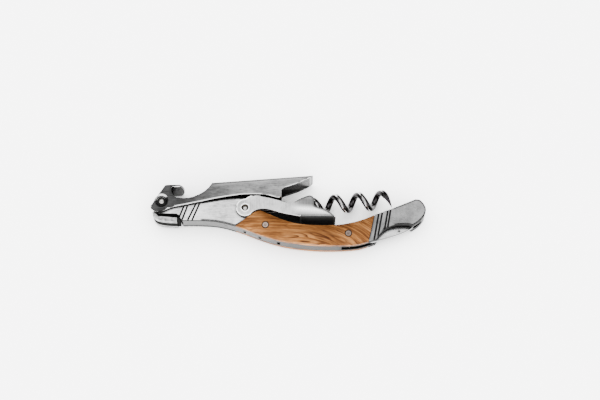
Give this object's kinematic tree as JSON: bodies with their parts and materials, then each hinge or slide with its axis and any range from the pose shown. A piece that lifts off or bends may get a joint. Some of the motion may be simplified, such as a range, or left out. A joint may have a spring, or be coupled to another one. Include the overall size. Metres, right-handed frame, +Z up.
{
  "type": "waiters corkscrew",
  "caption": "Folding waiters corkscrew lying closed: crowned wood handle between steel bolsters, two hinged levers, a worm folded between them and a foil cutter in the tail.",
  "frame": {"origin": "middle of the footprint, on the surface that the closed corkscrew lies on", "axes": "+X from the lever hinge towards the tail, +Y from the spine towards the belly, +Z up through the width of the handle"},
  "size_m": [0.12, 0.032, 0.0124],
  "materials": {
    "lever_steel": "brushed across, with polished edges",
    "bolster_steel": "satin",
    "polished_steel": "polished",
    "olive_wood": "oiled, with dark streaks",
    "black_steel": "black chrome",
    "bronze": "turned"
  },
  "bodies": {
    "handle": {"liner_front": "polished_steel", "liner_back": "polished_steel", "back_spring": "polished_steel", "tail_spacer": "polished_steel", "head_bolster_front": "bolster_steel", "head_bolster_back": "bolster_steel", "tail_bolster_front": "bolster_steel", "tail_bolster_back": "bolster_steel", "wood_scale_front": "olive_wood", "wood_scale_back": "olive_wood", "scale_rivet": "polished_steel", "blade_pin": "polished_steel", "lever_pin": "polished_steel", "worm_pin": "polished_steel", "head_bolster_pins": "bolster_steel", "tail_bolster_pins": "bolster_steel", "lever_washer_front": "bronze", "lever_washer_back": "bronze", "arm_washer_front": "bronze", "arm_washer_back": "bronze", "blade_washer_front": "bronze", "blade_washer_back": "bronze"},
    "long_lever": {"long_lever": "lever_steel"},
    "short_lever": {"short_lever": "lever_steel"},
    "worm": {"worm": "black_steel", "worm_knuckle": "black_steel"},
    "foil_cutter": {"foil_blade": "polished_steel"}
  },
  "joints": [
    {"name": "long_lever_hinge", "type": "hinge", "parent": "handle", "child": "long_lever", "pos_m": [-0.0553, 0.004, 0.0062], "axis": [0, 0, 1], "range_deg": [0, 140]},
    {"name": "worm_hinge", "type": "hinge", "parent": "handle", "child": "worm", "pos_m": [-0.0188, 0.0008, 0.0062], "axis": [0, 0, 1], "range_deg": [0, 92]},
    {"name": "short_lever_hinge", "type": "hinge", "parent": "handle", "child": "short_lever", "pos_m": [-0.0188, 0.0008, 0.0062], "axis": [0, 0, 1], "range_deg": [0, 58]},
    {"name": "foil_cutter_hinge", "type": "hinge", "parent": "handle", "child": "foil_cutter", "pos_m": [0.026, -0.011, 0.0062], "axis": [0, 0, 1], "range_deg": [-105, 0]}
  ],
  "couplings": [
    {"joint": "worm_hinge", "follows": "long_lever_hinge", "ratio": 0.65},
    {"joint": "short_lever_hinge", "follows": "long_lever_hinge", "ratio": 0.4}
  ]
}
